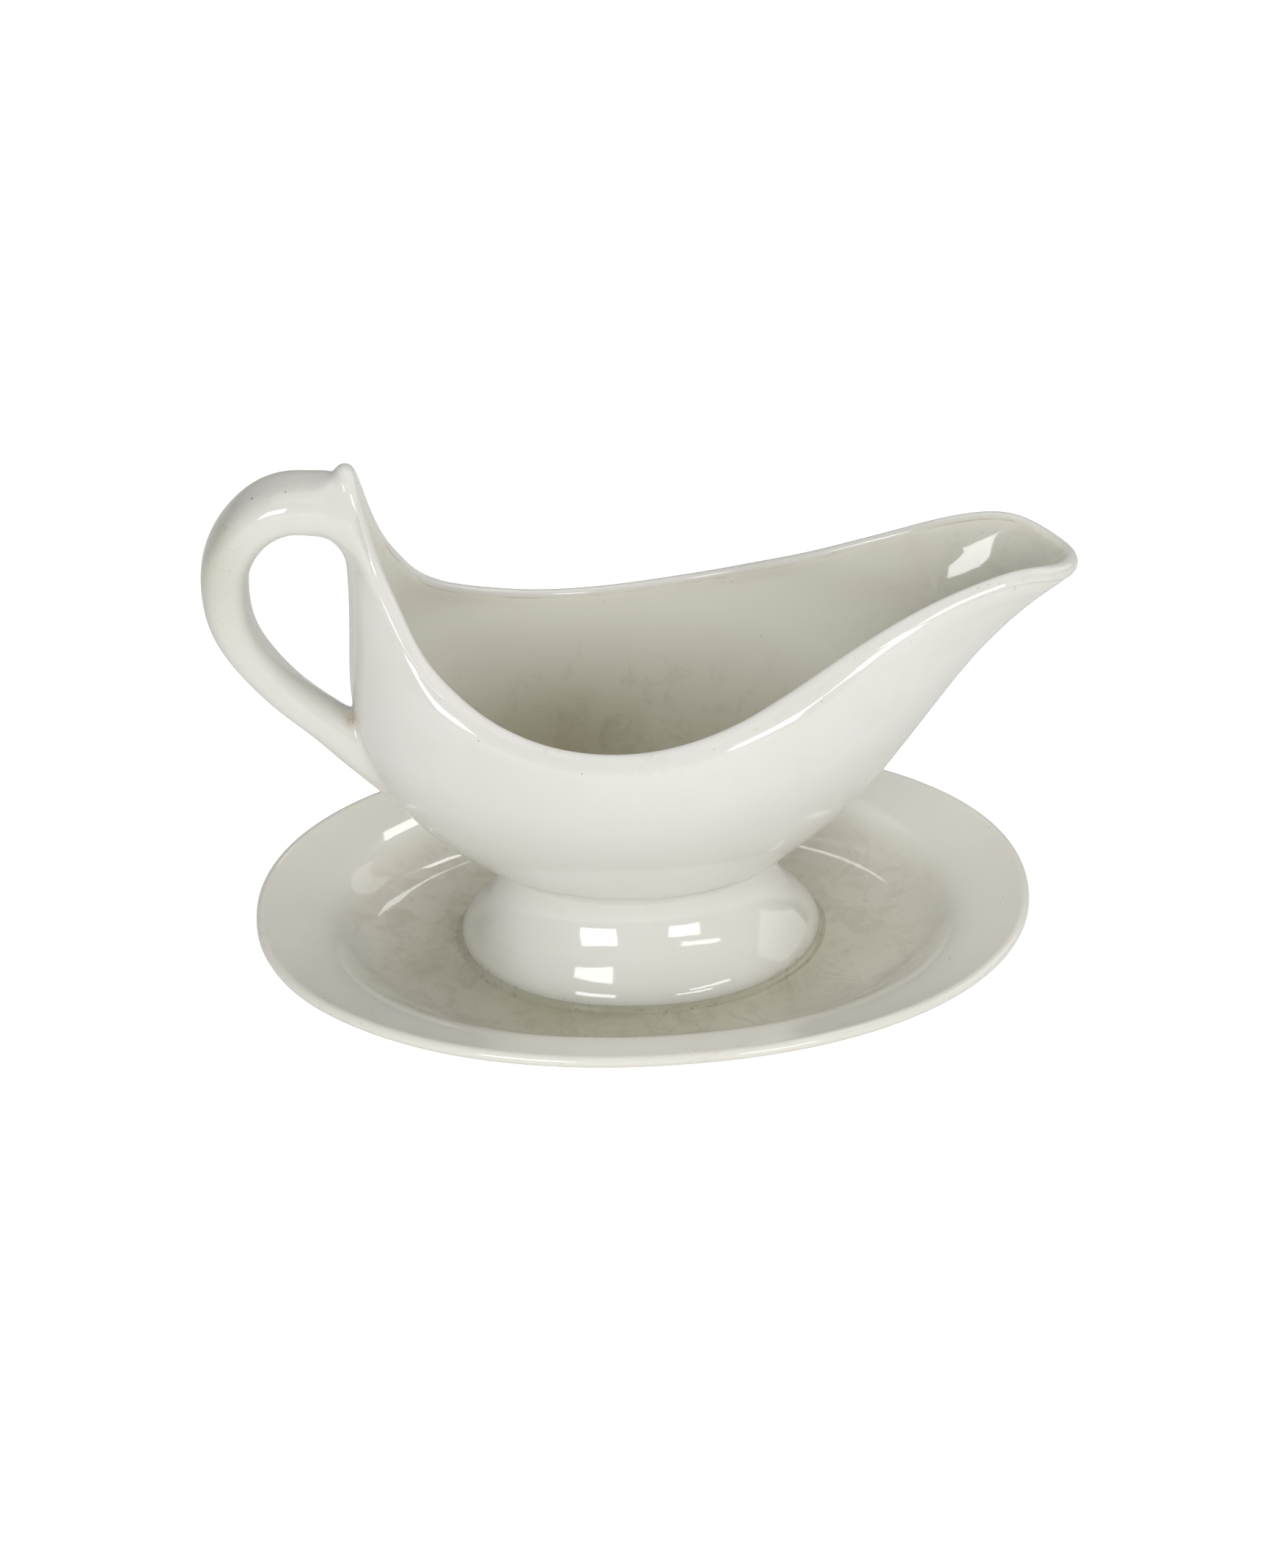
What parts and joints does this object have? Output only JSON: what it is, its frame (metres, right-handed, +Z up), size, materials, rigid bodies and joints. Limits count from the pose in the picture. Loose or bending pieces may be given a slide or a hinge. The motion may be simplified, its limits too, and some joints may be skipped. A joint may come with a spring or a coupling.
{
  "type": "gravy boat",
  "caption": "Oval footed gravy boat with a raised pouring lip and a high loop handle, fixed to its own oval saucer, in glazed off-white ceramic.",
  "frame": {"origin": "on the table plane, under the middle of the overall length and width", "axes": "+X towards the pouring lip, handle at -X, +Y across the boat, +Z up"},
  "size_m": [0.2177, 0.1376, 0.154],
  "materials": {
    "glaze_bowl": "gloss",
    "glaze_handle": "gloss",
    "glaze_foot": "gloss",
    "glaze_seam": "gloss",
    "glaze_saucer": "gloss"
  },
  "bodies": {
    "root": {"bowl": "glaze_bowl", "handle": "glaze_handle", "foot": "glaze_foot", "foot_seam": "glaze_seam", "saucer": "glaze_saucer"}
  },
  "joints": []
}
